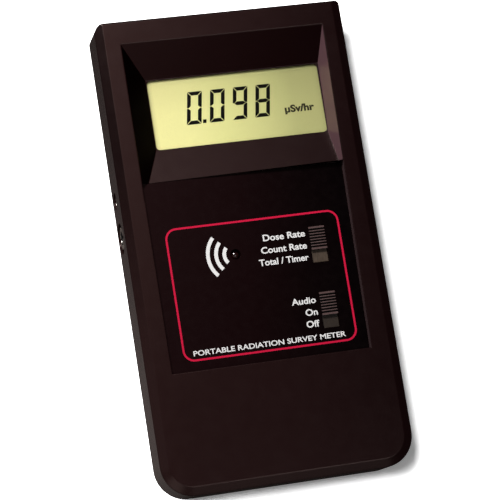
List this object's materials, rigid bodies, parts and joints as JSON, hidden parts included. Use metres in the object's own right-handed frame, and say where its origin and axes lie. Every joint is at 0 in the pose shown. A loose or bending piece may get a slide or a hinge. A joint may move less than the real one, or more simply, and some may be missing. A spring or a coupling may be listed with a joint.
{
  "type": "geiger counter",
  "caption": "Hand-held radiation meter: flat black two-part case, sunken numeric display, slide switches on a sunken panel, side jacks, screened detector tube in the back.",
  "frame": {"origin": "centre of the case's outline, on the back face", "axes": "+Y along the case towards the display end, +Z out of the face, +X to the right seen from the face"},
  "size_m": [0.08, 0.15, 0.03],
  "materials": {
    "case_plastic": "fine satin moulded texture",
    "overlay_film": "smooth satin film",
    "lens": "clear",
    "lcd": "yellow-green reflective",
    "bezel_plastic": "satin",
    "rubber": "matt",
    "board": "solder-mask green",
    "chip": "matt",
    "steel": "brushed",
    "nickel": "plated",
    "transformer": "taped",
    "capacitor": "sleeved",
    "led": "clear dark red",
    "switch_metal": "dull plated",
    "knob_plastic": "satin",
    "button_plastic": "satin",
    "jack_plastic": "satin",
    "tube_steel": "drawn",
    "mica": "silvery",
    "ceramic": "glazed",
    "brass": "plain",
    "wire": "smooth",
    "foam": "open-cell foam",
    "battery_can": "satin"
  },
  "bodies": {
    "root": {"front_case": "case_plastic", "rear_case": "case_plastic", "end_panel": "case_plastic", "case_screws": "steel", "display_lens": "lens", "panel_overlay": "overlay_film", "lcd_glass": "lcd", "lcd_bezel": "bezel_plastic", "zebra_strips": "rubber", "main_board": "board", "board_screws": "steel", "microcontroller": "chip", "logic_chips": "chip", "crystal": "nickel", "hv_transformer": "transformer", "hv_capacitors": "capacitor", "chip_resistors": "chip", "beeper": "chip", "count_light": "led", "mode_switch_body": "switch_metal", "power_switch_body": "switch_metal", "button_board": "board", "button_switches": "chip", "timer_switch_body": "switch_metal", "output_jack": "jack_plastic", "output_jack_nut": "nickel", "input_jack": "jack_plastic", "input_jack_collar": "nickel", "tube_body": "tube_steel", "tube_window": "mica", "tube_anode": "steel", "tube_insulator": "ceramic", "anode_clip": "brass", "anode_lead": "wire", "tube_gasket": "foam", "tube_pad": "foam", "detector_screen": "steel", "battery": "battery_can", "battery_terminals": "nickel", "battery_snap": "rubber", "battery_leads": "wire", "battery_pad": "foam"},
    "mode_switch": {"mode_switch_knob": "knob_plastic"},
    "power_switch": {"power_switch_knob": "knob_plastic"},
    "timer_switch": {"timer_switch_knob": "knob_plastic"},
    "minus_key": {"minus_button": "button_plastic"},
    "plus_key": {"plus_button": "button_plastic"},
    "set_key": {"set_button": "button_plastic"},
    "door": {"battery_door": "case_plastic"}
  },
  "joints": [
    {"name": "mode_switch_slide", "type": "slide", "parent": "root", "child": "mode_switch", "axis": [0, -1, 0], "range_m": [0, 0.004]},
    {"name": "power_switch_slide", "type": "slide", "parent": "root", "child": "power_switch", "axis": [0, -1, 0], "range_m": [0, 0.004]},
    {"name": "timer_switch_slide", "type": "slide", "parent": "root", "child": "timer_switch", "axis": [1, 0, 0], "range_m": [0, 0.004]},
    {"name": "minus_press", "type": "slide", "parent": "root", "child": "minus_key", "axis": [0, -1, 0], "range_m": [0, 0.0006], "stiffness_N_per_m": 200},
    {"name": "plus_press", "type": "slide", "parent": "root", "child": "plus_key", "axis": [0, -1, 0], "range_m": [0, 0.0006], "stiffness_N_per_m": 200},
    {"name": "set_press", "type": "slide", "parent": "root", "child": "set_key", "axis": [0, -1, 0], "range_m": [0, 0.0006], "stiffness_N_per_m": 200},
    {"name": "battery_door_slide", "type": "slide", "parent": "root", "child": "door", "axis": [0, -1, 0], "range_m": [0, 0.03]}
  ]
}
